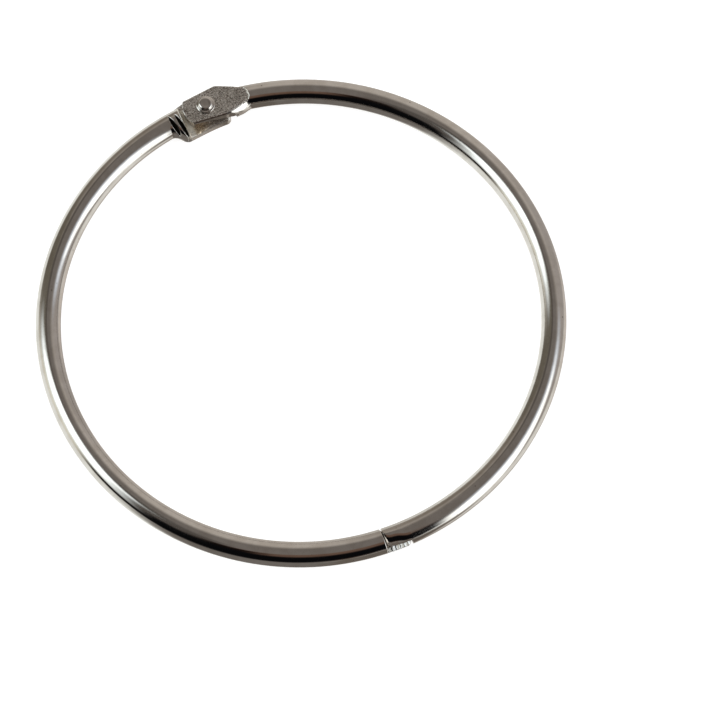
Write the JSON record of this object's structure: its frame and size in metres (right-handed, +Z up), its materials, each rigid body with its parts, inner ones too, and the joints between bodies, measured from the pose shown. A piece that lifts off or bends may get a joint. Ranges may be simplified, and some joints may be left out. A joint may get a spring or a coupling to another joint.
{
  "type": "binder ring",
  "caption": "Hinged round steel ring for loose leaves: two half rings riveted at one end, with a snap clasp at the other.",
  "frame": {"origin": "centre of the closed ring, on the surface it lies on", "axes": "+Z up along the ring's own axis and the hinge's, +Y from the centre to the rivet, +X towards the half that swings"},
  "size_m": [0.0842, 0.085, 0.0043],
  "materials": {
    "nickel_plate": "bright nickel plate on steel rod, satin where the hinge leaves are pressed",
    "rivet_plate": "bright nickel plate on a steel rivet"
  },
  "bodies": {
    "fixed_half": {"left_half": "nickel_plate", "hinge_rivet": "rivet_plate"},
    "swinging_half": {"right_half": "nickel_plate"}
  },
  "joints": [
    {"name": "ring_hinge", "type": "hinge", "parent": "fixed_half", "child": "swinging_half", "pos_m": [0, 0.0401, 0.002], "axis": [0, 0, 1], "range_deg": [0, 124]}
  ]
}
